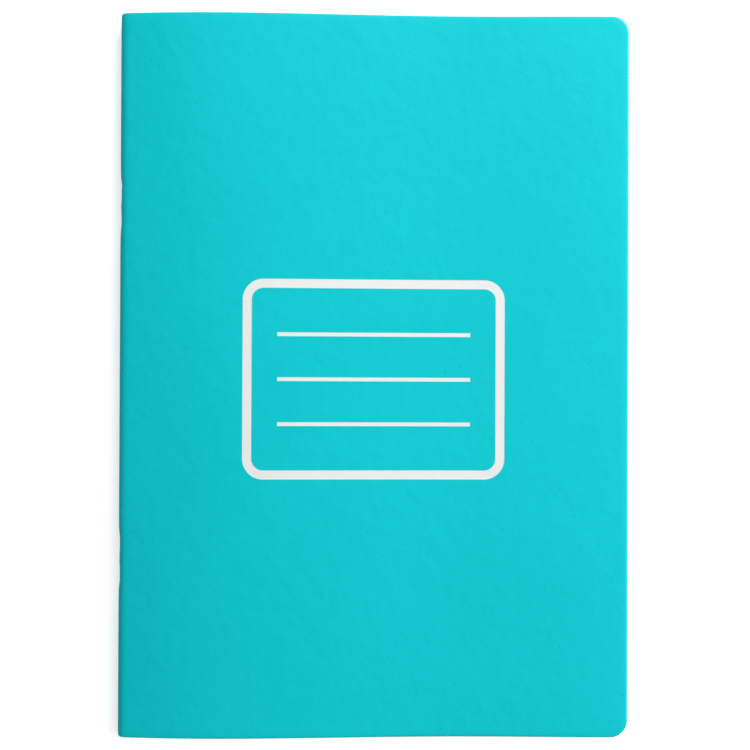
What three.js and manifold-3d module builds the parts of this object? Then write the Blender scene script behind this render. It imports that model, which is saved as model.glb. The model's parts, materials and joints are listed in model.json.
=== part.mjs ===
// A soft-covered A5 notebook, closed and lying on its back: one cover folded round twenty folded sheets of
// writing paper, held through the fold by two wire staples. Units are millimetres. X runs from the spine to
// the fore-edge, Y from the foot to the head of the page, and Z up out of the front cover.
//
// Everything is drawn round the fold's own axis, a line along Y in the middle of the spine. Opening the
// notebook turns the front half of the cover and of each sheet about that line, so each of them is made in
// two solids that part there: one that turns, and one that stays with the fold.

import * as THREE from "three";
import { mergeVertices } from "three/addons/utils/BufferGeometryUtils.js";
import Module from "manifold-3d";

const wasm = await Module();
wasm.setup();

// Driving sizes of the trimmed block
const BOOK_WIDTH = 148;
const BOOK_HEIGHT = 210;
const CORNER_RADIUS = 5;

// Cover, one piece of soft sheet
const COVER_THICKNESS = 0.7;
const COVER_CLEARANCE = 0.03;

// Sheets, each folded once to make two leaves
const SHEET_COUNT = 20;
const PAPER_THICKNESS = 0.09;
const PAGE_OVERHANG_HEAD = 1.1; // the pages are cut a little askew: at the head they stand out past the cover
const PAGE_SETBACK_FOOT = 0.55; // and at the foot they lie behind it

// How the closed block springs: it swells beside the spine, dips, and lifts again at the fore-edge
const SWELL_DISTANCE = 28;
const DIP_DISTANCE = 94;
const AIR_AT_FOLD = 0.02; // air between neighbouring leaves
const AIR_AT_SWELL = 0.086;
const AIR_AT_DIP = 0.03;
const AIR_AT_FORE_EDGE = 0.079;
const MIDDLE_GAP_AT_SWELL = 0.95; // between the two leaves of the middle spread
const MIDDLE_GAP_AT_DIP = 0.1;
const MIDDLE_GAP_AT_FORE_EDGE = 0.36;

// Staples, of round wire
const WIRE_DIAMETER = 0.5;
const CROWN_LENGTH = 12;
const CROWN_BOW = 0.42; // how much deeper the crown's ends lie than its middle
const CLINCH_LENGTH = 4.2;
const WIRE_BEND_RADIUS = 0.5;
const WIRE_CLEARANCE = 0.04; // round the wire where it passes through the fold
const CLINCH_CLEARANCE = 0.09; // between the clinched wire and the paper above and below it
const STAPLE_FROM_HEAD = 56.2;
const STAPLE_FROM_FOOT = 51.4;
const DIMPLE_DEPTH = 0.45; // where each leg pulls the cover in
const DIMPLE_LENGTH = 4.8;

// The joint between the half that turns and the half that stays
const JOINT_MARGIN = 0.15;
const JOINT_CLEARANCE = 0.15;

// How finely curves are cut into straight steps
const FOLD_STEPS = 8;
const SPINE_STEPS = 20;
const CURVE_STEPS = 5;
const CORNER_STEPS = 5;
const BEND_STEPS = 3;
const WIRE_SIDES = 8;
const HOLE_SIDES = 4;

// Sizes that follow
const WIRE_RADIUS = WIRE_DIAMETER / 2;
const FOLD_INNER_RADIUS = WIRE_RADIUS + CLINCH_CLEARANCE;
const SHEETS_THICKNESS = SHEET_COUNT * PAPER_THICKNESS + (SHEET_COUNT - 1) * AIR_AT_FOLD;
const COVER_INNER_RADIUS = FOLD_INNER_RADIUS + SHEETS_THICKNESS + COVER_CLEARANCE;
const SPINE_RADIUS = COVER_INNER_RADIUS + COVER_THICKNESS;
const STAYING_RADIUS = SPINE_RADIUS + JOINT_MARGIN; // what stays with the fold lies inside this circle
const TURNING_RADIUS = STAYING_RADIUS + JOINT_CLEARANCE; // and what turns lies outside this one
const REACH = BOOK_WIDTH - SPINE_RADIUS; // from the fold's axis to the page edges
const BLEED = 3; // paper and cover beyond the trim

// A size that changes smoothly from the fold through the swell and the dip to the fore-edge. It leaves the
// fold at a slope, as a bent sheet does, and runs level over the other three.
function along(distance, atFold, atSwell, atDip, atForeEdge) {
  const places = [0, SWELL_DISTANCE, DIP_DISTANCE, REACH];
  const values = [atFold, atSwell, atDip, atForeEdge];
  if (distance <= places[0]) return atFold;
  for (let i = 1; i < places.length; i++) {
    if (distance > places[i]) continue;
    const share = (distance - places[i - 1]) / (places[i] - places[i - 1]);
    const eased = i === 1 ? share * (2 - share) : share * share * (3 - 2 * share);
    return values[i - 1] + (values[i] - values[i - 1]) * eased;
  }
  return atForeEdge;
}

const middleGap = (distance) =>
  along(distance, 2 * FOLD_INNER_RADIUS, MIDDLE_GAP_AT_SWELL, MIDDLE_GAP_AT_DIP, MIDDLE_GAP_AT_FORE_EDGE);
const air = (distance) => along(distance, AIR_AT_FOLD, AIR_AT_SWELL, AIR_AT_DIP, AIR_AT_FORE_EDGE);

// Height of a front leaf's underside over the fold's axis. Leaf 0 is the innermost.
function leafHeight(distance, leaf) {
  return middleGap(distance) - FOLD_INNER_RADIUS + leaf * (PAPER_THICKNESS + air(distance));
}

// Height of the front cover's underside over the fold's axis.
function coverHeight(distance) {
  return leafHeight(distance, SHEET_COUNT) - air(distance) + COVER_CLEARANCE;
}

const foldRadius = (leaf) => FOLD_INNER_RADIUS + leaf * (PAPER_THICKNESS + AIR_AT_FOLD);

// Distance at which a surface of that height leaves a circle round the fold's axis.
function leaving(radius, height) {
  let distance = 0;
  for (let i = 0; i < 12; i++) distance = Math.sqrt(radius ** 2 - height(distance) ** 2);
  return distance;
}

// Where the front half's curve is cut into straight steps, past a near end.
function stations(nearEnd) {
  const places = [0, SWELL_DISTANCE, DIP_DISTANCE, REACH];
  const found = [];
  for (let i = 1; i < places.length; i++) {
    for (let step = 1; step <= CURVE_STEPS; step++) {
      found.push(places[i - 1] + ((places[i] - places[i - 1]) * step) / CURVE_STEPS);
    }
  }
  return [...found.filter((distance) => distance > nearEnd), REACH + BLEED];
}

// Solids and meshes

function solidOf(geometry) {
  const bare = geometry.clone();
  bare.deleteAttribute("normal");
  bare.deleteAttribute("uv");
  const merged = mergeVertices(bare);
  return new wasm.Manifold(
    new wasm.Mesh({
      numProp: 3,
      vertProperties: new Float32Array(merged.attributes.position.array),
      triVerts: new Uint32Array(merged.index.array),
    }),
  );
}

function geometryOf(solid) {
  const { vertProperties, triVerts } = solid.getMesh();
  const geometry = new THREE.BufferGeometry();
  geometry.setAttribute("position", new THREE.BufferAttribute(vertProperties, 3));
  geometry.setIndex(new THREE.BufferAttribute(triVerts, 1));
  const faceted = geometry.toNonIndexed();
  faceted.computeVertexNormals();
  return faceted;
}

// A section across the spine, points of (distance, height), run along Y past both trims.
function alongSpine(points) {
  const length = BOOK_HEIGHT + 2 * BLEED;
  const geometry = new THREE.ExtrudeGeometry(new THREE.Shape(points), {
    depth: length,
    bevelEnabled: false,
  });
  geometry.rotateX(Math.PI / 2);
  geometry.translate(0, length / 2, 0);
  return solidOf(geometry);
}

// What is left of the plan after the three edges are trimmed and the two outer corners rounded. The
// setbacks move the fore-edge in at the head and at the foot, or out where they are negative.
function trimmer(setbackHead, setbackFoot) {
  const spine = -SPINE_RADIUS - BLEED;
  const head = new THREE.Vector2(REACH - setbackHead, BOOK_HEIGHT / 2);
  const foot = new THREE.Vector2(REACH - setbackFoot, -BOOK_HEIGHT / 2);
  const down = foot.clone().sub(head).normalize().multiplyScalar(CORNER_RADIUS);
  const outline = new THREE.Shape();
  outline.moveTo(spine, foot.y);
  for (const point of roundedCorner(foot, new THREE.Vector2(-CORNER_RADIUS, 0), down.clone().negate())) {
    outline.lineTo(point.x, point.y);
  }
  for (const point of roundedCorner(head, down, new THREE.Vector2(-CORNER_RADIUS, 0))) {
    outline.lineTo(point.x, point.y);
  }
  outline.lineTo(spine, head.y);
  const geometry = new THREE.ExtrudeGeometry(outline, {
    depth: 4 * SPINE_RADIUS,
    bevelEnabled: false,
  });
  geometry.translate(0, 0, -2 * SPINE_RADIUS);
  return solidOf(geometry);
}

// Points of a round corner, from one side to the other. Each side is a vector of the radius's length.
function roundedCorner(corner, fromSide, toSide) {
  const centre = corner.clone().add(fromSide).add(toSide);
  const points = [];
  for (let step = 0; step <= CORNER_STEPS; step++) {
    const angle = (step / CORNER_STEPS) * (Math.PI / 2);
    points.push(
      centre
        .clone()
        .addScaledVector(toSide, -Math.cos(angle))
        .addScaledVector(fromSide, -Math.sin(angle)),
    );
  }
  return points;
}

// Points of the fold, from below the axis round its far side to above it.
function foldArc(radius, steps) {
  const points = [];
  for (let step = 0; step <= steps; step++) {
    const angle = -Math.PI / 2 - (Math.PI * step) / steps;
    points.push(new THREE.Vector2(radius * Math.cos(angle), radius * Math.sin(angle)));
  }
  return points;
}

// Section of a layer's front half: it starts on the turning circle and follows the block's curve.
function turningSection(underside, thickness) {
  const topside = (distance) => underside(distance) + thickness;
  const lowStart = leaving(TURNING_RADIUS, underside);
  const highStart = leaving(TURNING_RADIUS, topside);
  const places = stations(lowStart);
  return [
    new THREE.Vector2(lowStart, underside(lowStart)),
    ...places.map((distance) => new THREE.Vector2(distance, underside(distance))),
    ...places.map((distance) => new THREE.Vector2(distance, topside(distance))).reverse(),
    new THREE.Vector2(highStart, topside(highStart)),
  ];
}

// Section of the rest of that layer: the flat back half, the fold, and what reaches over the axis as far
// as the staying circle.
function stayingSection(innerRadius, underside, thickness, steps) {
  const topside = (distance) => underside(distance) + thickness;
  const outerRadius = innerRadius + thickness;
  const highEnd = leaving(STAYING_RADIUS, topside);
  const lowEnd = leaving(STAYING_RADIUS, underside);
  return [
    new THREE.Vector2(REACH + BLEED, -outerRadius),
    new THREE.Vector2(REACH + BLEED, -innerRadius),
    ...foldArc(innerRadius, steps),
    new THREE.Vector2(lowEnd, underside(lowEnd)),
    new THREE.Vector2(highEnd, topside(highEnd)),
    ...foldArc(outerRadius, steps).reverse(),
  ];
}

// A line through given points, each of which becomes one ring of the wire.
class WireLine extends THREE.Curve {
  constructor(points) {
    super();
    this.points = points;
  }

  getPoint(share, target = new THREE.Vector3()) {
    const place = share * (this.points.length - 1);
    const before = Math.min(Math.floor(place), this.points.length - 2);
    return target.lerpVectors(this.points[before], this.points[before + 1], place - before);
  }

  getPointAt(share, target) {
    return this.getPoint(share, target);
  }

  getTangentAt(share, target = new THREE.Vector3()) {
    const half = 0.5 / (this.points.length - 1);
    const ahead = this.getPoint(Math.min(1, share + half));
    return target.copy(ahead).sub(this.getPoint(Math.max(0, share - half))).normalize();
  }
}

// The centre line of a staple's legs and bowed crown, in the plane of the fold's axis. The middle of the
// crown is level with the spine's face, and both ends have turned to run along the inside of the fold.
function legsAndCrown(middle) {
  const half = CROWN_LENGTH / 2;
  const crownMiddle = -(SPINE_RADIUS - WIRE_RADIUS);
  const crownEnd = crownMiddle + CROWN_BOW;
  const clinch = -FOLD_INNER_RADIUS + WIRE_RADIUS + WIRE_CLEARANCE;
  const at = (distance, y) => new THREE.Vector3(distance, middle + y, 0);
  const crownAt = (y) => at(crownMiddle + CROWN_BOW * (y / half) ** 2, y);
  const bend = (before, corner, after) =>
    new THREE.QuadraticBezierCurve3(before, corner, after).getPoints(BEND_STEPS);
  const inner = half - WIRE_BEND_RADIUS;
  const lowerHalf = [
    ...bend(at(clinch, -inner), at(clinch, -half), at(clinch - WIRE_BEND_RADIUS, -half)),
    ...bend(at(crownEnd + WIRE_BEND_RADIUS, -half), crownAt(-half), crownAt(-inner)),
    crownAt(-inner * 0.75),
    crownAt(-inner * 0.5),
    crownAt(-inner * 0.25),
  ];
  const upperHalf = lowerHalf
    .map((point) => new THREE.Vector3(point.x, 2 * middle - point.y, point.z))
    .reverse();
  return [...lowerHalf, crownAt(0), ...upperHalf];
}

// The whole of a staple's centre line, with its two clinches.
function stapleLine(middle) {
  const points = legsAndCrown(middle);
  const tip = CLINCH_LENGTH - CROWN_LENGTH / 2;
  const lower = points[0].clone().setY(middle + tip);
  const upper = points.at(-1).clone().setY(middle - tip);
  return [lower, ...points, upper];
}

function wire(points, radius, sides) {
  const line = new WireLine(points);
  const section = new THREE.Shape();
  for (let side = 0; side < sides; side++) {
    const angle = ((side + 0.5) / sides) * 2 * Math.PI;
    const point = [radius * Math.cos(angle), radius * Math.sin(angle)];
    if (side === 0) section.moveTo(...point);
    else section.lineTo(...point);
  }
  return solidOf(
    new THREE.ExtrudeGeometry(section, {
      steps: line.points.length - 1,
      extrudePath: line,
      bevelEnabled: false,
    }),
  );
}

// The round cutter that leaves a dimple of the right depth and length in the spine's face.
function dimpleCutter(y) {
  const radius = ((DIMPLE_LENGTH / 2) ** 2 + DIMPLE_DEPTH ** 2) / (2 * DIMPLE_DEPTH);
  const geometry = new THREE.CylinderGeometry(radius, radius, 2 * SPINE_RADIUS, 48);
  geometry.rotateX(Math.PI / 2);
  geometry.translate(-SPINE_RADIUS + DIMPLE_DEPTH - radius, y, 0);
  return solidOf(geometry);
}

// Materials
const coverSheet = new THREE.MeshStandardMaterial({ color: 0x02c3cd, roughness: 0.55, metalness: 0 });
const writingPaper = new THREE.MeshStandardMaterial({ color: 0xf6f4ea, roughness: 0.9, metalness: 0 });
const stapleWire = new THREE.MeshStandardMaterial({ color: 0xaeb4b8, roughness: 0.3, metalness: 1 });

const notebook = new THREE.Group();
const foldAxis = new THREE.Group();
foldAxis.position.set(-(BOOK_WIDTH + PAGE_OVERHANG_HEAD) / 2 + SPINE_RADIUS, 0, SPINE_RADIUS);
notebook.add(foldAxis);

function addPiece(name, solid, material) {
  const piece = new THREE.Mesh(geometryOf(solid), material);
  piece.name = name;
  foldAxis.add(piece);
}

const STAPLES = [
  { name: "staple_head", middle: BOOK_HEIGHT / 2 - STAPLE_FROM_HEAD },
  { name: "staple_foot", middle: -BOOK_HEIGHT / 2 + STAPLE_FROM_FOOT },
];

const coverTrim = trimmer(0, 0);
const pageTrim = trimmer(-PAGE_OVERHANG_HEAD, PAGE_SETBACK_FOOT);
const holeRadius = (WIRE_RADIUS + WIRE_CLEARANCE) / Math.cos(Math.PI / HOLE_SIDES);
const wireHoles = wasm.Manifold.union(
  STAPLES.map(({ middle }) => wire(legsAndCrown(middle), holeRadius, HOLE_SIDES)),
);
const dimples = wasm.Manifold.union(
  STAPLES.flatMap(({ middle }) => [
    dimpleCutter(middle - CROWN_LENGTH / 2),
    dimpleCutter(middle + CROWN_LENGTH / 2),
  ]),
);

// Cover
addPiece(
  "cover_front_panel",
  alongSpine(turningSection(coverHeight, COVER_THICKNESS)).intersect(coverTrim),
  coverSheet,
);
addPiece(
  "cover_back_panel_and_spine",
  alongSpine(stayingSection(COVER_INNER_RADIUS, coverHeight, COVER_THICKNESS, SPINE_STEPS))
    .intersect(coverTrim)
    .subtract(wireHoles)
    .subtract(dimples),
  coverSheet,
);

// Sheets, numbered from the one next to the cover to the one that makes the middle spread
for (let sheet = 1; sheet <= SHEET_COUNT; sheet++) {
  const leaf = SHEET_COUNT - sheet;
  const underside = (distance) => leafHeight(distance, leaf);
  const name = `sheet_${String(sheet).padStart(2, "0")}`;
  addPiece(
    `${name}_front_leaf`,
    alongSpine(turningSection(underside, PAPER_THICKNESS)).intersect(pageTrim),
    writingPaper,
  );
  addPiece(
    `${name}_back_leaf_and_fold`,
    alongSpine(stayingSection(foldRadius(leaf), underside, PAPER_THICKNESS, FOLD_STEPS))
      .intersect(pageTrim)
      .subtract(wireHoles),
    writingPaper,
  );
}

// Staples
for (const { name, middle } of STAPLES) {
  addPiece(name, wire(stapleLine(middle), WIRE_RADIUS, WIRE_SIDES), stapleWire);
}

export default notebook;
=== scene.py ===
"""A soft-covered, saddle-stapled notebook: its cover, sheets and staples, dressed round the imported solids.

The notebook lies on its back, with X from the spine to the fore-edge, Y from the foot to the head of the
page and Z up out of the front cover. Everything across the spine is measured from the fold's axis, which
the cover's hinge gives. Lengths are in metres.
"""

import json
import logging
import math
from dataclasses import dataclass
from enum import Enum
from typing import Any, Callable

import bpy
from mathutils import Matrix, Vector


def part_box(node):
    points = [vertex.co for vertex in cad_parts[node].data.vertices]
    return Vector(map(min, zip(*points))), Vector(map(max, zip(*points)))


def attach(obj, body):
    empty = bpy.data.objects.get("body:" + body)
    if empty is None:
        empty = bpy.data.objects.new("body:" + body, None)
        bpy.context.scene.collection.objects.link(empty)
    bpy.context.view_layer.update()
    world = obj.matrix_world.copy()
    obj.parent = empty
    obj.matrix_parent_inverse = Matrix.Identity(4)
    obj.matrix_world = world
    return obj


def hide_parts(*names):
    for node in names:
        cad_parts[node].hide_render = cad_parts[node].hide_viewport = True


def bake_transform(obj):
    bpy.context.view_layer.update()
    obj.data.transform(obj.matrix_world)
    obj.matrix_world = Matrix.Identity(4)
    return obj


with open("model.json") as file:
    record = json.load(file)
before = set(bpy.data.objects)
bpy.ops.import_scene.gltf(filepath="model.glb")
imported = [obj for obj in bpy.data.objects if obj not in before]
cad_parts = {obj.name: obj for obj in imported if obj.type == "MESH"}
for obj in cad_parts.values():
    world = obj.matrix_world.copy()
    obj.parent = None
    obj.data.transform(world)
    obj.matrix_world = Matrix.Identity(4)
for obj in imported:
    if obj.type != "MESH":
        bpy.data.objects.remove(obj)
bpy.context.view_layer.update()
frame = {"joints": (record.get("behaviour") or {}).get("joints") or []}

MM = 0.001
SMOOTH_BELOW = math.radians(35)
LOG = logging.getLogger("notebook")

Place = tuple[float, float]
Point = tuple[float, float, float]
Colour = tuple[float, float, float, float]


class Panel(Enum):
    """Which side of the fold a panel or a leaf lies on."""

    FRONT = 1
    BACK = -1


class Ruling(Enum):
    """What is printed on the writing paper."""

    PLAIN = "plain"
    LINED = "lined"


# ---------------------------------------------------------------------------------------------------
# Shaders
# ---------------------------------------------------------------------------------------------------


class Value:
    """A number that varies over a surface: an output socket that takes part in Python expressions."""

    def __init__(self, shader: "Shader", socket: bpy.types.NodeSocket) -> None:
        """Wraps one output socket of a shader's node."""
        self.shader = shader
        self.socket = socket

    def _math(self, operation: str, *terms: Any) -> "Value":
        """Adds one Math node.

        Args:
            operation: The Math node's operation.
            terms: Its inputs, each a Value or a number.

        Returns:
            The node's result.
        """
        return self.shader.node("ShaderNodeMath", {"operation": operation}, dict(enumerate(terms)))

    def __add__(self, other: Any) -> "Value":
        """Sum."""
        return self._math("ADD", self, other)

    def __radd__(self, other: Any) -> "Value":
        """Sum, with the number first."""
        return self._math("ADD", other, self)

    def __sub__(self, other: Any) -> "Value":
        """Difference."""
        return self._math("SUBTRACT", self, other)

    def __rsub__(self, other: Any) -> "Value":
        """Difference, with the number first."""
        return self._math("SUBTRACT", other, self)

    def __mul__(self, other: Any) -> "Value":
        """Product."""
        return self._math("MULTIPLY", self, other)

    def __rmul__(self, other: Any) -> "Value":
        """Product, with the number first."""
        return self._math("MULTIPLY", other, self)

    def __truediv__(self, other: Any) -> "Value":
        """Quotient."""
        return self._math("DIVIDE", self, other)

    def __abs__(self) -> "Value":
        """Size without its sign."""
        return self._math("ABSOLUTE", self)

    def __lt__(self, other: Any) -> "Value":
        """One where this is the smaller, else nought."""
        return self._math("LESS_THAN", self, other)

    def __gt__(self, other: Any) -> "Value":
        """One where this is the larger, else nought."""
        return self._math("GREATER_THAN", self, other)

    def at_least(self, other: Any) -> "Value":
        """The larger of the two."""
        return self._math("MAXIMUM", self, other)

    def modulo(self, step: float) -> "Value":
        """What is left over of this after whole steps."""
        return self._math("FLOORED_MODULO", self, step)

    def root(self) -> "Value":
        """Square root."""
        return self._math("SQRT", self)

    def ease(self, low: float, high: float) -> "Value":
        """Nought up to low, one from high on, and smooth between."""
        return self.shader.node(
            "ShaderNodeMapRange",
            {"interpolation_type": "SMOOTHSTEP"},
            {"Value": self, "From Min": low, "From Max": high},
        )


class Shader:
    """One material's node tree, written as expressions."""

    def __init__(self, name: str) -> None:
        """Makes the material with a bare Principled shader in it."""
        self.material = bpy.data.materials.new(name)
        self.material.use_nodes = True
        self.tree = self.material.node_tree
        self.principled = self.tree.nodes["Principled BSDF"]
        self.output = self.tree.nodes["Material Output"]
        self.coordinates = self.node("ShaderNodeTexCoord", {}, {}, "Object")

    def node(self, kind: str, settings: dict[str, Any], inputs: dict[Any, Any],
             result: str | int = 0) -> Value:
        """Adds a node.

        Args:
            kind: The node's type.
            settings: Its properties, which are set before its inputs.
            inputs: A value or a link for each named or numbered input.
            result: Which output to give back.

        Returns:
            That output.
        """
        made = self.tree.nodes.new(kind)
        for key, setting in settings.items():
            setattr(made, key, setting)
        for key, given in inputs.items():
            self.feed(made.inputs[key], given)
        return Value(self, made.outputs[result])

    def feed(self, socket: bpy.types.NodeSocket, given: Any) -> None:
        """Links a Value to an input, or sets the input to a plain number or colour."""
        if isinstance(given, Value):
            self.tree.links.new(given.socket, socket)
        else:
            socket.default_value = given

    def surface(self, **inputs: Any) -> None:
        """Feeds the Principled shader, with spaces in its inputs' names written as underscores."""
        for key, given in inputs.items():
            self.feed(self.principled.inputs[key.replace("_", " ")], given)

    def axes(self) -> tuple[Value, Value, Value]:
        """The three Object coordinates, in metres."""
        parts = [
            self.node("ShaderNodeSeparateXYZ", {}, {"Vector": self.coordinates}, index)
            for index in range(3)
        ]
        return parts[0], parts[1], parts[2]

    def noise(self, size: float, detail: float = 2.0, roughness: float = 0.5) -> Value:
        """Cloudy noise.

        Args:
            size: Width of its larger patches, in metres.
            detail: How many finer layers it has.
            roughness: How strong the finer layers are.

        Returns:
            A value about 0.5, from 0 to 1.
        """
        return self.node(
            "ShaderNodeTexNoise",
            {"noise_dimensions": "3D"},
            {"Vector": self.coordinates, "Scale": 1 / size, "Detail": detail, "Roughness": roughness},
            "Fac",
        )

    def cells(self, size: float, randomness: float = 1.0) -> Value:
        """Distance from the middle of the nearest of many scattered cells, as a share of their size."""
        return self.node(
            "ShaderNodeTexVoronoi",
            {"feature": "F1"},
            {"Vector": self.coordinates, "Scale": 1 / size, "Randomness": randomness},
            "Distance",
        )

    def mix(self, share: Any, first: Any, second: Any) -> Value:
        """Mixes two colours."""
        made = self.tree.nodes.new("ShaderNodeMix")
        made.data_type = "RGBA"
        for index, given in ((0, share), (6, first), (7, second)):
            self.feed(made.inputs[index], given)
        return Value(self, made.outputs[2])

    def bump(self, height: Value, depth: float) -> Value:
        """A normal from a height, one of which stands for that depth in metres."""
        return self.node("ShaderNodeBump", {}, {"Height": height, "Distance": depth, "Strength": 1.0})


@dataclass(frozen=True)
class TitleFrame:
    """A plain printed frame with writing lines, for a name and a subject."""

    centre: Place = (-0.5 * MM, -1.2 * MM)
    size: Place = (76 * MM, 58 * MM)
    corner: float = 6 * MM
    border: float = 2.6 * MM
    writing_lines: int = 3
    line_pitch: float = 13 * MM
    line_width: float = 1.1 * MM
    line_length: float = 56 * MM
    edge: float = 0.06 * MM

    def mask(self, shader: Shader) -> Value:
        """Where the ink is.

        Args:
            shader: The material that it is printed in.

        Returns:
            One on the ink and nought off it.
        """
        x, y, _ = shader.axes()
        across = abs(x - self.centre[0])
        along = abs(y - self.centre[1])
        corner_x = (across - (self.size[0] / 2 - self.corner)).at_least(0.0)
        corner_y = (along - (self.size[1] / 2 - self.corner)).at_least(0.0)
        outside = (corner_x * corner_x + corner_y * corner_y).root() - self.corner
        inner_x = self.size[0] / 2 - self.border - across
        inner_y = self.size[1] / 2 - self.border - along
        inner_corner = self.corner - self.border
        hollow_x = (inner_corner - inner_x).at_least(0.0)
        hollow_y = (inner_corner - inner_y).at_least(0.0)
        hollow = (hollow_x * hollow_x + hollow_y * hollow_y).root() - inner_corner
        body = 1 - outside.ease(-self.edge, self.edge)
        frame_only = body * hollow.ease(-self.edge, self.edge)
        first = self.centre[1] - self.line_pitch * (self.writing_lines - 1) / 2
        in_step = (y - (first - self.line_pitch / 2)).modulo(self.line_pitch)
        off_line = abs(in_step - self.line_pitch / 2)
        lines = 1 - off_line.ease(self.line_width / 2 - self.edge, self.line_width / 2 + self.edge)
        past_end = across.ease(self.line_length / 2 - self.edge, self.line_length / 2 + self.edge)
        lines = lines * (1 - past_end)
        lines = lines * (along < self.line_pitch * self.writing_lines / 2)
        return frame_only.at_least(lines)


@dataclass(frozen=True)
class CoverFinish:
    """Soft imitation leather, evenly dyed, with a very fine grain and a few pinholes, which are darkened
    with painted shade.

    The shares in relief_of are those of the fine grain, the coarse grain, the mottle and the pinholes. The
    ones in ink_relief say how far print evens out that relief, and how high it stands itself.
    """

    colour: Colour = (0.0009, 0.650, 0.711, 1.0)
    deeper: Colour = (0.0006, 0.634, 0.694, 1.0)
    # A darker turquoise painted into the pinholes as their shade; the dye itself is even.
    pinhole_shade: Colour = (0.0005, 0.42, 0.49, 1.0)
    roughness: float = 0.56
    specular: float = 0.18
    clouds: float = 34 * MM
    grain: float = 0.35 * MM
    coarse_grain: float = 1.4 * MM
    mottle: float = 4.8 * MM
    pinholes: float = 3.2 * MM
    pinhole_reach: Place = (0.04, 0.12)
    pinhole_patches: float = 19 * MM
    relief: float = 0.018 * MM
    relief_of: tuple[float, float, float, float] = (0.55, 2.0, 7.5, -1.3)
    ink_relief: Place = (0.45, 0.25)
    ink: Colour = (0.93, 0.94, 0.94, 1.0)
    print_on: TitleFrame | None = None

    def material(self, name: str) -> bpy.types.Material:
        """Builds the material under that name."""
        shader = Shader(name)
        clouds = shader.noise(self.clouds, 3.0)
        fine = shader.noise(self.grain, 3.0, 0.65)
        coarse = shader.noise(self.coarse_grain, 2.0)
        mottle = shader.noise(self.mottle, 1.0)
        holes = 1 - shader.cells(self.pinholes).ease(*self.pinhole_reach)
        holes = holes * (shader.noise(self.pinhole_patches, 1.0) > 0.5)
        colour = shader.mix(clouds.ease(0.35, 0.7), self.deeper, self.colour)
        colour = shader.mix(fine.ease(0.3, 0.75) * 0.25, colour, self.deeper)
        # Painted shade: the pinholes are darkened towards this colour, on top of their real relief.
        colour = shader.mix(holes * 0.4, colour, self.pinhole_shade)
        roughness = self.roughness + (fine - 0.5) * 0.16 + (clouds - 0.5) * 0.06
        layers = [layer * share for layer, share in zip((fine, coarse, mottle, holes), self.relief_of)]
        height = layers[0] + layers[1] + layers[2] + layers[3]
        if self.print_on is not None:
            ink = self.print_on.mask(shader)
            evened, raised = self.ink_relief
            colour = shader.mix(ink, colour, self.ink)
            roughness = roughness - ink * 0.06
            height = height * (1 - ink * evened) + ink * raised
        shader.surface(
            Base_Color=colour,
            Roughness=roughness,
            Specular_IOR_Level=self.specular,
            Normal=shader.bump(height, self.relief),
        )
        return shader.material


@dataclass(frozen=True)
class PaperFinish:
    """Smooth uncoated writing paper, a little warm, with faint printed rules and painted shade on its cut
    edges.
    """

    block: "Block"
    colour: Colour = (0.84, 0.86, 0.805, 1.0)
    shade: Colour = (0.79, 0.81, 0.75, 1.0)
    line: Colour = (0.42, 0.55, 0.66, 1.0)
    ruling: Ruling = Ruling.LINED
    pitch: float = 7.1 * MM
    line_width: float = 0.22 * MM
    head_margin: float = 18 * MM
    foot_margin: float = 9 * MM
    # Painted shade: a greyer tone on the cut edges, for the shaded gaps between the sheets.
    edge_shade: Colour = (0.66, 0.69, 0.64, 1.0)
    edge_shade_width: float = 0.03 * MM
    fibres: float = 0.5 * MM
    clouds: float = 14 * MM
    relief: float = 0.006 * MM
    line_strength: float = 0.55

    def material(self, name: str) -> bpy.types.Material:
        """Builds the material under that name."""
        shader = Shader(name)
        block = self.block
        x, y, _ = shader.axes()
        distance = (x - block.axis_x) * block.reach / block.page_edge(y)
        past_x = (distance - block.straight).at_least(0.0)
        past_y = (abs(y) - (block.half_height - block.corner)).at_least(0.0)
        to_edge = block.corner - (past_x * past_x + past_y * past_y).root()
        fibres = shader.noise(self.fibres, 4.0, 0.7)
        clouds = shader.noise(self.clouds, 2.0)
        colour = shader.mix(fibres.ease(0.3, 0.75) * 0.4 + clouds * 0.3, self.colour, self.shade)
        if self.ruling is Ruling.LINED:
            top = block.half_height - self.head_margin
            bottom = self.foot_margin - block.half_height
            step = (top - y).modulo(self.pitch)
            near = abs(step - self.pitch / 2)
            inked = near > self.pitch / 2 - self.line_width / 2
            inked = inked * (y < top + self.pitch / 4) * (y > bottom)
            colour = shader.mix(inked * self.line_strength, colour, self.line)
        # Painted shade along the cut edges, standing in for the shade in the gaps between sheets.
        colour = shader.mix(to_edge < self.edge_shade_width, colour, self.edge_shade)
        shader.surface(
            Base_Color=colour,
            Roughness=0.82 + fibres * 0.1,
            Specular_IOR_Level=0.3,
            Normal=shader.bump(fibres, self.relief),
        )
        return shader.material


@dataclass(frozen=True)
class WireFinish:
    """Drawn, galvanised stitching wire, kept darker than bare zinc as painted shade under the spine's round.
    """

    # Both tones are partly the wire's grey and partly painted shade, darker than bare galvanised wire.
    colour: Colour = (0.38, 0.39, 0.40, 1.0)
    spangle_and_shade: Colour = (0.25, 0.26, 0.27, 1.0)
    streaks: float = 0.4 * MM
    spangle: float = 1.6 * MM
    relief: float = 0.008 * MM

    def material(self, name: str) -> bpy.types.Material:
        """Builds the material under that name."""
        shader = Shader(name)
        streaks = shader.noise(self.streaks, 3.0, 0.6)
        spangle = shader.noise(self.spangle, 2.0)
        shader.surface(
            # Painted shade: the spangle mixes two tones that are both darkened for the shade under the
            # spine.
            Base_Color=shader.mix(spangle.ease(0.35, 0.7), self.spangle_and_shade, self.colour),
            Metallic=1.0,
            Roughness=0.24 + streaks * 0.2,
            Normal=shader.bump(streaks, self.relief),
        )
        return shader.material


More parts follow.
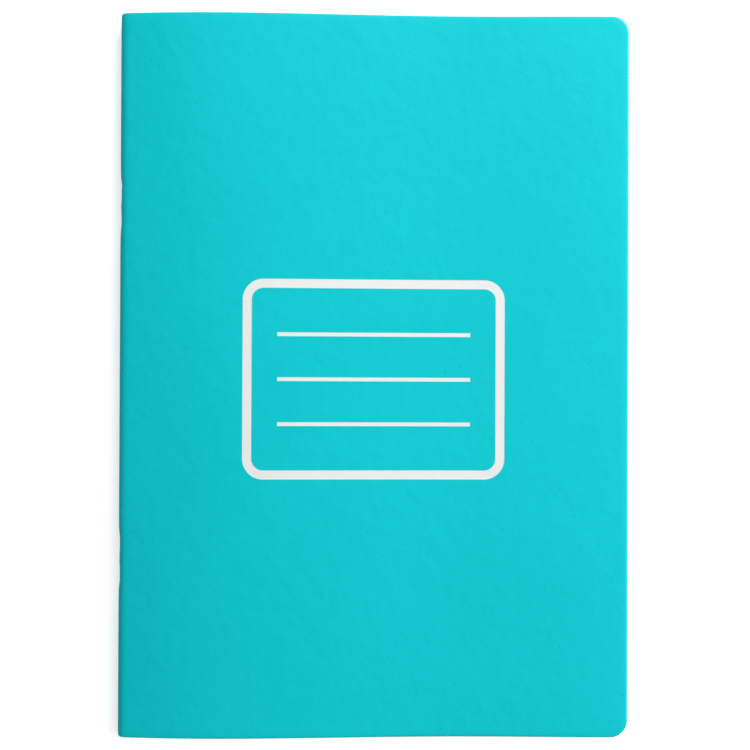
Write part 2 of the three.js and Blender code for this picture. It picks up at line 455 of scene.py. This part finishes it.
@dataclass(frozen=True)
class FloorFinish:
    """White studio paper, which the camera and reflections see as white light, fully so far out."""

    colour: Colour = (0.88, 0.88, 0.88, 1.0)
    darker: Colour = (0.8, 0.8, 0.8, 1.0)
    grain: float = 1.5 * MM
    glow: float = 0.62
    far_out: Place = (0.4, 1.4)

    def material(self, name: str) -> bpy.types.Material:
        """Builds the material under that name."""
        shader = Shader(name)
        seen = [shader.node("ShaderNodeLightPath", {}, {}, ray)
                for ray in ("Is Camera Ray", "Is Glossy Ray", "Is Transmission Ray")]
        grain = shader.noise(self.grain, 3.0)
        shader.surface(Base_Color=shader.mix(grain * 0.05, self.colour, self.darker), Roughness=0.9)
        glow = shader.node("ShaderNodeEmission", {}, {"Color": (1.0, 1.0, 1.0, 1.0), "Strength": 1.0})
        dark = shader.node("ShaderNodeEmission", {}, {"Color": (0.0, 0.0, 0.0, 1.0), "Strength": 0.0})
        x, y, _ = shader.axes()
        far = (x * x + y * y).root().ease(*self.far_out)
        share = (seen[0] + seen[1] + seen[2]).ease(0.0, 1.0) * (far * (1 - self.glow) + self.glow)
        lit = shader.node("ShaderNodeMixShader", {}, {0: share, 1: dark, 2: glow})
        body = Value(shader, shader.principled.outputs["BSDF"])
        total = shader.node("ShaderNodeAddShader", {}, {0: body, 1: lit})
        shader.feed(shader.output.inputs["Surface"], total)
        return shader.material


# ---------------------------------------------------------------------------------------------------
# The block's measures
# ---------------------------------------------------------------------------------------------------


def smooth(share: float) -> float:
    """Eases a share from nought to one, level at both ends."""
    share = min(max(share, 0.0), 1.0)
    return share * share * (3 - 2 * share)


@dataclass(frozen=True)
class Block:
    """Sizes that the cover and the sheets share, and the curve that the closed block springs to."""

    axis_x: float
    axis_z: float
    reach: float
    half_height: float
    corner: float = 5 * MM
    cover: float = 0.7 * MM
    cover_clearance: float = 0.03 * MM
    paper: float = 0.09 * MM
    sheets: int = 20
    fold_radius: float = 0.34 * MM
    swell_at: float = 28 * MM
    dip_at: float = 94 * MM
    air: tuple[float, ...] = (0.02 * MM, 0.086 * MM, 0.03 * MM, 0.079 * MM)
    gap: tuple[float, ...] = (0.68 * MM, 0.95 * MM, 0.1 * MM, 0.36 * MM)
    page_overhang_head: float = 1.1 * MM
    page_setback_foot: float = 0.55 * MM

    @classmethod
    def of_frame(cls) -> "Block":
        """Takes the axis from the cover's hinge, and the outer sizes from the back cover."""
        hinge = next(joint for joint in frame["joints"] if joint["name"] == "cover_fold")
        low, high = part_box("cover_back_panel_and_spine")
        axis_x, _, axis_z = hinge["pos_m"]
        return cls(axis_x, axis_z, high.x - axis_x, (high.y - low.y) / 2)

    @property
    def spine_radius(self) -> float:
        """Outer radius of the cover round the spine."""
        return self.axis_z

    @property
    def straight(self) -> float:
        """Where the rounded corners start, measured from the axis along X."""
        return self.reach - self.corner

    def narrowing(self, distance: float) -> float:
        """How much a rounded corner takes off the head or the foot, at a distance from the axis."""
        past = max(0.0, distance - self.straight)
        return self.corner - math.sqrt(max(0.0, self.corner ** 2 - past ** 2))

    def along(self, distance: float, values: tuple[float, ...]) -> float:
        """A size that changes smoothly from the fold through the swell and the dip to the fore-edge.

        It leaves the fold at a slope, as a bent sheet does, and runs level over the other three.

        Args:
            distance: How far from the fold's axis, along X.
            values: The size at the fold, the swell, the dip and the fore-edge.

        Returns:
            The size there.
        """
        places = (0.0, self.swell_at, self.dip_at, self.reach)
        for index in range(1, len(places)):
            if distance <= places[index]:
                share = max(0.0, (distance - places[index - 1]) / (places[index] - places[index - 1]))
                eased = share * (2 - share) if index == 1 else smooth(share)
                return values[index - 1] + (values[index] - values[index - 1]) * eased
        return values[-1]

    def slope(self, height: Callable[[float], float]) -> float:
        """How steeply a height over the axis leaves the fold."""
        return 2 * (height(self.swell_at) - height(0.0)) / self.swell_at

    def fold_point(self, angle: float, radius: float, fullness: float, slope: float) -> Place:
        """A point of a fold's section.

        Args:
            angle: Its direction from the axis, from nought at the bottom to pi at the top.
            radius: Half of the fold's height.
            fullness: Two for a round section, and more for one with tighter shoulders.
            slope: How steeply the front half leaves the fold.

        Returns:
            Its place across and up from the axis.
        """
        across, up = math.sin(angle), -math.cos(angle)
        size = radius / (abs(across) ** fullness + abs(up) ** fullness) ** (1 / fullness)
        across, up = -size * across, size * up
        return across, up + slope * across * (max(0.0, up) / radius) ** 2

    def leaf_height(self, distance: float, leaf: int) -> float:
        """Height of a front leaf's underside over the axis, leaf nought being the innermost."""
        return (self.along(distance, self.gap) - self.fold_radius
                + leaf * (self.paper + self.along(distance, self.air)))

    def leaf_radius(self, leaf: int) -> float:
        """Inner radius of a sheet's fold."""
        return self.fold_radius + leaf * (self.paper + self.air[0])

    def cover_top(self, distance: float) -> float:
        """Height of the front cover's upper face over the axis."""
        return (self.leaf_height(distance, self.sheets) - self.along(distance, self.air)
                + self.cover_clearance + self.cover)

    def page_edge(self, y: Any) -> Any:
        """Distance of the pages' fore-edge from the axis, at a height on the page."""
        to_foot = (self.half_height - y) / (2 * self.half_height)
        askew = -self.page_overhang_head - self.page_setback_foot
        return to_foot * askew + self.reach + self.page_overhang_head


def deselect() -> None:
    """Leaves nothing selected."""
    bpy.ops.object.select_all(action="DESELECT")


def choose(piece: bpy.types.Object) -> None:
    """Makes one piece the selected and active one."""
    deselect()
    piece.select_set(True)
    bpy.context.view_layer.objects.active = piece


def apply_modifiers(piece: bpy.types.Object) -> None:
    """Applies every modifier of a piece, in order."""
    choose(piece)
    for modifier in list(piece.modifiers):
        bpy.ops.object.modifier_apply(modifier=modifier.name)


def slab(name: str, columns: int, rows: int) -> bpy.types.Object:
    """Adds a flat slab of unit size, from which a sheet is shaped.

    Args:
        name: The piece's name.
        columns: How many points it has along X.
        rows: How many points it has along Y.

    Returns:
        The piece, its points running from nought to one both ways.
    """
    deselect()
    bpy.ops.mesh.primitive_grid_add(
        x_subdivisions=columns - 1, y_subdivisions=rows - 1, size=1.0, location=(0.5, 0.5, 0.0))
    bpy.ops.object.transform_apply(location=True)
    piece = bpy.context.object
    piece.name = name
    piece.data.name = name
    solid = piece.modifiers.new("thickness", "SOLIDIFY")
    solid.thickness = 1.0
    solid.offset = -1.0
    apply_modifiers(piece)
    return piece


def shape(piece: bpy.types.Object, columns: int, rows: int,
          place: Callable[[int, int, bool], Point]) -> None:
    """Moves each point of a slab to its place.

    Args:
        piece: The slab.
        columns: How many points it has along X.
        rows: How many points it has along Y.
        place: Gives the place of the point in a column and a row, on the inner or the outer face.
    """
    for vertex in piece.data.vertices:
        column = round(vertex.co.x * (columns - 1))
        row = round(vertex.co.y * (rows - 1))
        vertex.co = place(column, row, vertex.co.z < -0.5)
    piece.data.update()


def dress(piece: bpy.types.Object, material: bpy.types.Material) -> None:
    """Smooths a finished piece and gives it its material."""
    choose(piece)
    bpy.ops.object.shade_smooth_by_angle(angle=SMOOTH_BELOW)
    piece.data.materials.clear()
    piece.data.materials.append(material)


def even_steps(low: float, high: float, count: int) -> list[float]:
    """Places from low to high, at equal distances."""
    return [low + (high - low) * step / count for step in range(count + 1)]


def rounded_steps(low: float, high: float, count: int) -> list[float]:
    """Places from low to high that crowd towards high, as the columns of a rounded corner do."""
    return [low + (high - low) * math.sin(math.pi / 2 * step / count) for step in range(1, count + 1)]


# ---------------------------------------------------------------------------------------------------
# Cover
# ---------------------------------------------------------------------------------------------------


@dataclass
class StapleSeat:
    """Where a staple sits, and how its legs and crown press the spine in."""

    middle: float
    head_depth: float
    foot_depth: float
    crown: float = 12 * MM
    crown_depth: float = 0.46 * MM
    leg_spread: float = 0.7 * MM
    run_out: float = 1.75 * MM
    run_out_rate: float = 1.6
    height: float = 2.4 * MM
    row_step: float = 0.3 * MM
    rows_beside: int = 18

    def press(self, y: float, around: float) -> float:
        """How far the spine's face is pressed in.

        Args:
            y: Height on the spine.
            around: Distance from the middle of the spine, measured round it.

        Returns:
            The depth there.
        """
        past_leg = abs(y - self.middle) - self.crown / 2
        leg_depth = self.head_depth if y > self.middle else self.foot_depth
        if past_leg > 0:
            share = past_leg / self.run_out
            depth = leg_depth * (1 + share) * math.exp(-self.run_out_rate * share)
        else:
            extra = leg_depth - self.crown_depth
            depth = self.crown_depth + extra * math.exp(-(past_leg / self.leg_spread) ** 2)
        return depth * math.exp(-(around / self.height) ** 2)


@dataclass
class Cover:
    """One soft sheet folded round the block: a front panel, the spine and a back panel."""

    block: Block
    seats: list[StapleSeat]
    finish: CoverFinish = CoverFinish()
    edge_fall: float = 0.13 * MM
    edge_fall_width: float = 2.2 * MM
    edge_curl: float = 0.13 * MM
    edge_curl_width: float = 0.7 * MM
    rim_rounding: float = 0.33 * MM
    fullness: float = 3.2
    columns_at_fold: tuple[float, ...] = (0.0, 0.02 * MM, 0.6 * MM, 1.4 * MM, 2.6 * MM)
    even_from: float = 4 * MM
    panel_columns: int = 56
    panel_rows: int = 40
    corner_columns: int = 14
    rows_at_edge: tuple[float, ...] = tuple(
        place * MM for place in (0.0, 0.02, 0.08, 0.18, 0.33, 0.5, 0.7, 0.95, 1.3, 1.8, 2.4, 3.4, 5.0))
    least_row: float = 0.015 * MM
    quarter_shares: tuple[float, ...] = (0.0, 0.006, 0.05, 0.67, 1.0)
    quarter_columns: int = 14

    def build(self) -> list[bpy.types.Object]:
        """Makes the three pieces and sets them in the frame.

        Returns:
            The pieces.
        """
        printed = CoverFinish(print_on=TitleFrame()).material("cover_turquoise_printed")
        plain = self.finish.material("cover_turquoise")
        front = self._panel("cover_front", Panel.FRONT)
        dress(front, printed)
        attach(front, "front_cover")
        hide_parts("cover_front_panel")
        back = self._panel("cover_back", Panel.BACK)
        dress(back, plain)
        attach(back, "back_half")
        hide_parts("cover_back_panel_and_spine")
        spine = self._spine()
        dress(spine, plain)
        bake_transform(spine)
        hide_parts("cover_front_panel", "cover_back_panel_and_spine")
        return [front, spine, back]

    def _rim(self, to_edge: float, inner: bool) -> float:
        """How deep a face lies under the sheet's true outer face, near an edge or away from it.

        Args:
            to_edge: Distance to the nearest trimmed edge.
            inner: Whether the inner face is meant.

        Returns:
            The depth.
        """
        fall = self.edge_fall * max(0.0, 1 - to_edge / self.edge_fall_width) ** 2
        fall += self.edge_curl * max(0.0, 1 - to_edge / self.edge_curl_width) ** 2
        left = max(0.0, self.rim_rounding - to_edge)
        rounding = self.rim_rounding - math.sqrt(self.rim_rounding ** 2 - left ** 2)
        return fall + (self.block.cover - rounding if inner else rounding)

    def _rows(self) -> list[float]:
        """Places of the panels' rows up the page, finer towards the head and foot."""
        half = self.block.half_height
        inner = half - self.rows_at_edge[-1]
        top = [half - place for place in reversed(self.rows_at_edge[:-1])]
        return [-place for place in reversed(top)] + even_steps(-inner, inner, self.panel_rows) + top

    def _panel(self, name: str, side: Panel) -> bpy.types.Object:
        """Makes the front or the back panel, from the middle of the spine's round to the fore-edge."""
        block = self.block
        columns = [*self.columns_at_fold, *even_steps(self.even_from, block.straight, self.panel_columns)]
        columns += rounded_steps(block.straight, block.reach, self.corner_columns)
        rows = self._rows()

        def place(column: int, row: int, inner: bool) -> Point:
            """The place of one point."""
            if side is Panel.BACK:
                column = len(columns) - 1 - column
            distance, y = columns[column], rows[row]
            narrowing = block.narrowing(distance)
            y *= (block.half_height - narrowing) / block.half_height
            to_edge = min(block.reach - distance, block.half_height - narrowing - abs(y))
            if narrowing > 0:
                past_x = distance - block.straight
                past_y = max(0.0, abs(y) - (block.half_height - block.corner))
                to_edge = min(to_edge, max(0.0, block.corner - math.hypot(past_x, past_y)))
            depth = self._rim(to_edge, inner)
            if side is Panel.FRONT:
                height = block.cover_top(distance) - depth
            else:
                height = depth - block.spine_radius
            return (block.axis_x + distance, y, block.axis_z + height)

        piece = slab(name, len(columns), len(rows))
        shape(piece, len(columns), len(rows), place)
        return piece

    def _spine(self) -> bpy.types.Object:
        """Makes the half round that joins the panels, pressed in under the staples."""
        block = self.block
        first, eased, start, shoulder, last = self.quarter_shares
        quarter = [first, eased, *even_steps(start, shoulder, self.quarter_columns)]
        quarter += even_steps(shoulder, last, self.quarter_columns)[1:]
        angles = [share * math.pi / 2 for share in quarter]
        angles += [math.pi - angle for angle in reversed(angles[:-1])]
        rows = self._spine_rows()

        def place(column: int, row: int, inner: bool) -> Point:
            """The place of one point."""
            angle, y = angles[column], rows[row]
            radius = block.spine_radius - self._rim(block.half_height - abs(y), inner)
            across, up = block.fold_point(angle, radius, self.fullness, block.slope(block.cover_top))
            if not inner:
                around = (angle - math.pi / 2) * block.spine_radius
                across = min(0.0, across + sum(seat.press(y, around) for seat in self.seats))
            return (block.axis_x + across, y, block.axis_z + up)

        piece = slab("cover_spine", len(angles), len(rows))
        shape(piece, len(angles), len(rows), place)
        return piece

    def _spine_rows(self) -> list[float]:
        """Places of the spine's rows, fine where the staples press it."""
        rows = set(self._rows())
        for seat in self.seats:
            for side in (-1, 1):
                leg = seat.middle + side * seat.crown / 2
                steps = range(-seat.rows_beside, seat.rows_beside + 1)
                rows |= {leg + step * seat.row_step for step in steps}
        ordered = sorted(rows)
        kept = [ordered[0]]
        for place in ordered[1:]:
            if place - kept[-1] > self.least_row:
                kept.append(place)
        kept[-1] = ordered[-1]
        return kept


# ---------------------------------------------------------------------------------------------------
# Sheets
# ---------------------------------------------------------------------------------------------------


@dataclass
class FoldedSheet:
    """One sheet of writing paper, folded once: a front leaf, its fold and a back leaf."""

    block: Block
    number: int
    material: bpy.types.Material
    columns_at_fold: tuple[float, ...] = (0.0, 1 * MM, 2.5 * MM)
    even_from: float = 5 * MM
    leaf_columns: int = 30
    corner_columns: int = 8
    leaf_rows: int = 8
    fold_columns: int = 16

    @property
    def leaf(self) -> int:
        """How many sheets lie inside this one."""
        return self.block.sheets - self.number

    def build(self) -> list[bpy.types.Object]:
        """Makes the three pieces and sets them in the frame.

        Returns:
            The pieces.
        """
        name = f"sheet_{self.number:02d}"
        front = self._leaf(f"{name}_front", Panel.FRONT)
        dress(front, self.material)
        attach(front, f"{name}_front")
        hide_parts(f"{name}_front_leaf")
        back = self._leaf(f"{name}_back", Panel.BACK)
        dress(back, self.material)
        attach(back, "back_half")
        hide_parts(f"{name}_back_leaf_and_fold")
        fold = self._fold(f"{name}_fold")
        dress(fold, self.material)
        radius = self.block.leaf_radius(self.leaf) + self.block.paper
        low = (self.block.axis_x, 0.0, self.block.axis_z - radius)
        high = (self.block.axis_x, 0.0, self.block.axis_z + radius)
        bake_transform(fold)
        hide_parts(f"{name}_front_leaf", f"{name}_back_leaf_and_fold")
        return [front, fold, back]

    def _leaf(self, name: str, side: Panel) -> bpy.types.Object:
        """Makes the front or the back leaf, from the fold to the fore-edge."""
        block = self.block
        columns = [*self.columns_at_fold, *even_steps(self.even_from, block.straight, self.leaf_columns)]
        columns += rounded_steps(block.straight, block.reach, self.corner_columns)
        half = block.half_height
        rows = even_steps(-half, half, self.leaf_rows)
        radius = block.leaf_radius(self.leaf) + block.paper

        def place(column: int, row: int, inner: bool) -> Point:
            """The place of one point."""
            if side is Panel.BACK:
                column = len(columns) - 1 - column
            distance, y = columns[column], rows[row]
            y *= (half - block.narrowing(distance)) / half
            askew = block.page_edge(y) / block.reach
            depth = block.paper if inner else 0.0
            if side is Panel.FRONT:
                height = block.leaf_height(distance, self.leaf) + block.paper - depth
            else:
                height = depth - radius
            return (block.axis_x + distance * askew, y, block.axis_z + height)

        piece = slab(name, len(columns), len(rows))
        shape(piece, len(columns), len(rows), place)
        return piece

    def _fold(self, name: str) -> bpy.types.Object:
        """Makes the half round in the fold."""
        block = self.block
        radius = block.leaf_radius(self.leaf) + block.paper
        slope = block.slope(lambda distance: block.leaf_height(distance, self.leaf))
        angles = even_steps(0.0, math.pi, self.fold_columns)
        rows = even_steps(-block.half_height, block.half_height, self.leaf_rows)

        def place(column: int, row: int, inner: bool) -> Point:
            """The place of one point."""
            face = radius - block.paper if inner else radius
            across, up = block.fold_point(angles[column], face, 2.0, slope)
            return (block.axis_x + across, rows[row], block.axis_z + up)

        piece = slab(name, len(angles), len(rows))
        shape(piece, len(angles), len(rows), place)
        return piece


# ---------------------------------------------------------------------------------------------------
# Staples
# ---------------------------------------------------------------------------------------------------


@dataclass
class Staple:
    """A wire staple: a clinch, a leg, the bowed crown, a leg and a clinch, bent from one wire."""

    block: Block
    name: str
    middle: float
    material: bpy.types.Material
    wire: float = 0.5 * MM
    crown: float = 12 * MM
    bow: float = 0.42 * MM
    clinch: float = 4.2 * MM
    bend: float = 0.5 * MM
    clinch_clearance: float = 0.04 * MM
    sides: int = 16
    bend_steps: int = 6
    crown_steps: int = 16

    def build(self) -> bpy.types.Object:
        """Bends the wire and sets it in the frame.

        Returns:
            The staple.
        """
        block = self.block
        inside = block.axis_x - block.fold_radius + self.wire / 2 + self.clinch_clearance
        half = self.crown / 2
        slope = 2 * self.bow / half
        radius = (half - self.bend * (1 - math.sin(slope))) / math.sin(slope)
        outmost = block.axis_x - block.spine_radius + self.wire / 2
        leg_end = outmost + radius * (1 - math.cos(slope)) + self.bend * math.cos(slope)
        tip = Vector((inside, self.middle - half + self.clinch, block.axis_z))
        deselect()
        bpy.ops.mesh.primitive_circle_add(
            vertices=self.sides, radius=self.wire / 2, fill_type="NGON", location=tip,
            rotation=(math.pi / 2, 0.0, 0.0))
        staple = bpy.context.object
        bpy.ops.object.transform_apply(location=True, rotation=True)
        bpy.ops.object.mode_set(mode="EDIT")
        bpy.ops.mesh.select_mode(type="FACE")
        bpy.ops.mesh.select_all(action="SELECT")
        self._straight((0.0, self.bend - self.clinch, 0.0))
        self._turn(90, (inside - self.bend, self.middle - half + self.bend))
        leg = leg_end - (inside - self.bend)
        self._straight((leg, 0.0, 0.0))
        self._turn(90 - math.degrees(slope), (leg_end, self.middle - half + self.bend))
        self._turn(2 * math.degrees(slope), (outmost + radius, self.middle), self.crown_steps)
        self._turn(90 - math.degrees(slope), (leg_end, self.middle + half - self.bend))
        self._straight((-leg, 0.0, 0.0))
        self._turn(90, (inside - self.bend, self.middle + half - self.bend))
        self._straight((0.0, self.bend - self.clinch, 0.0))
        bpy.ops.mesh.select_all(action="SELECT")
        bpy.ops.mesh.remove_doubles(threshold=1e-6)
        bpy.ops.mesh.normals_make_consistent(inside=False)
        bpy.ops.object.mode_set(mode="OBJECT")
        staple.name = self.name
        staple.data.name = self.name
        dress(staple, self.material)
        return staple

    def _straight(self, move: Point) -> None:
        """Runs the wire straight on from its selected end."""
        bpy.ops.mesh.extrude_region_move(TRANSFORM_OT_translate={"value": move})

    def _turn(self, degrees: float, centre: Place, steps: int | None = None) -> None:
        """Bends the wire on from its selected end, round an upright line through a centre."""
        bpy.ops.mesh.spin(
            steps=steps or self.bend_steps, dupli=False, angle=math.radians(degrees),
            center=(centre[0], centre[1], self.block.axis_z), axis=(0.0, 0.0, 1.0))


# ---------------------------------------------------------------------------------------------------
# Studio
# ---------------------------------------------------------------------------------------------------


@dataclass(frozen=True)
class Lamp:
    """A soft square lamp: its azimuth from the fore-edge towards the head, its height and its watts."""

    name: str
    azimuth: float
    elevation: float
    power: float


@dataclass
class Studio:
    """Pale floor, soft lights and the camera, which looks straight down."""

    camera_place: Point = (-6.56 * MM, -2.268 * MM, 350.0 * MM)
    camera_turn: Point = (0.388, -1.056, 0.217)
    lens: float = 56.785
    sensor: float = 36.0
    sees_from_to: Place = (0.01, 20.0)
    floor_size: float = 6.0
    floor_gap: float = 0.02 * MM
    lamp_distance: float = 0.92
    lamp_size: float = 0.42
    lamps: tuple[Lamp, ...] = (
        Lamp("side", 0, 32, 5.3),
        Lamp("head", 70, 32, 6.3),
        Lamp("foot", 270, 30, 0.6),
    )
    sky: float = 0.18

    def build(self) -> None:
        """Sets up the whole studio."""
        self._camera()
        self._floor()
        for lamp in self.lamps:
            self._light(lamp)
        self._world()
        bpy.context.scene.view_settings.view_transform = "Standard"

    def _camera(self) -> None:
        """Adds the camera."""
        data = bpy.data.cameras.new("camera")
        data.lens = self.lens
        data.sensor_width = self.sensor
        data.clip_start, data.clip_end = self.sees_from_to
        camera = bpy.data.objects.new("camera", data)
        camera.location = self.camera_place
        camera.rotation_euler = [math.radians(turn) for turn in self.camera_turn]
        bpy.context.scene.collection.objects.link(camera)
        bpy.context.scene.camera = camera

    def _floor(self) -> None:
        """Adds the floor."""
        deselect()
        bpy.ops.mesh.primitive_plane_add(size=self.floor_size, location=(0.0, 0.0, -self.floor_gap))
        floor = bpy.context.object
        floor.name = "studio_floor"
        floor.data.materials.append(FloorFinish().material("studio_paper"))

    def _light(self, lamp: Lamp) -> None:
        """Adds a lamp that faces the notebook."""
        data = bpy.data.lights.new(lamp.name, "AREA")
        data.size = self.lamp_size
        data.energy = lamp.power
        light = bpy.data.objects.new(lamp.name, data)
        turn, rise = math.radians(lamp.azimuth), math.radians(lamp.elevation)
        towards = Vector((math.cos(rise) * math.cos(turn), math.cos(rise) * math.sin(turn), math.sin(rise)))
        light.location = towards * self.lamp_distance
        light.rotation_euler = (-towards).to_track_quat("-Z", "Y").to_euler()
        bpy.context.scene.collection.objects.link(light)

    def _world(self) -> None:
        """Fills the surroundings with even white light, before a backdrop that the camera sees as white."""
        world = bpy.data.worlds.new("studio_world")
        world.use_nodes = True
        nodes, link = world.node_tree.nodes, world.node_tree.links.new
        sky = nodes["Background"]
        backdrop = nodes.new("ShaderNodeBackground")
        for light, strength in ((sky, self.sky), (backdrop, 1.0)):
            light.inputs["Color"].default_value = (1.0, 1.0, 1.0, 1.0)
            light.inputs["Strength"].default_value = strength
        choice, ray = nodes.new("ShaderNodeMixShader"), nodes.new("ShaderNodeLightPath")
        link(ray.outputs["Is Camera Ray"], choice.inputs[0])
        link(sky.outputs[0], choice.inputs[1])
        link(backdrop.outputs[0], choice.inputs[2])
        link(choice.outputs[0], nodes["World Output"].inputs["Surface"])
        bpy.context.scene.world = world


@dataclass
class Notebook:
    """The whole notebook.
    """

    block: Block
    staple_from_head: float = 56.2 * MM
    staple_from_foot: float = 51.4 * MM
    head_staple_depths: Place = (0.67 * MM, 0.32 * MM)
    foot_staple_depths: Place = (0.52 * MM, 0.5 * MM)
    half_stretch: float = 10.0

    def build(self) -> None:
        """Makes the cover, the sheets and the staples, and reports each."""
        head_seat = StapleSeat(self.block.half_height - self.staple_from_head, *self.head_staple_depths)
        foot_seat = StapleSeat(self.staple_from_foot - self.block.half_height, *self.foot_staple_depths)
        for piece in Cover(self.block, [head_seat, foot_seat]).build():
            self._report(piece)
        paper = PaperFinish(self.block).material("writing_paper")
        for number in range(1, self.block.sheets + 1):
            for piece in FoldedSheet(self.block, number, paper).build():
                self._report(piece)
        wire = WireFinish().material("galvanised_wire")
        for end, seat in (("head", head_seat), ("foot", foot_seat)):
            staple = Staple(self.block, f"staple_wire_{end}", seat.middle, wire).build()
            low, high = (0.0, 0.0, -self.half_stretch), (0.0, 0.0, self.half_stretch)
            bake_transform(staple)
            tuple(low)
            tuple(high)
            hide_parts(f"staple_{end}")
            self._report(staple)

    def _report(self, piece: bpy.types.Object) -> None:
        """Logs one finished piece."""
        LOG.info("%s: %d faces", piece.name, len(piece.data.polygons))


def main() -> None:
    """Builds the studio and the notebook."""
    logging.basicConfig(level=logging.INFO, format="%(name)s %(message)s")
    Studio().build()
    Notebook(Block.of_frame()).build()
    bpy.context.view_layer.update()


if __name__ == "__main__":
    main()
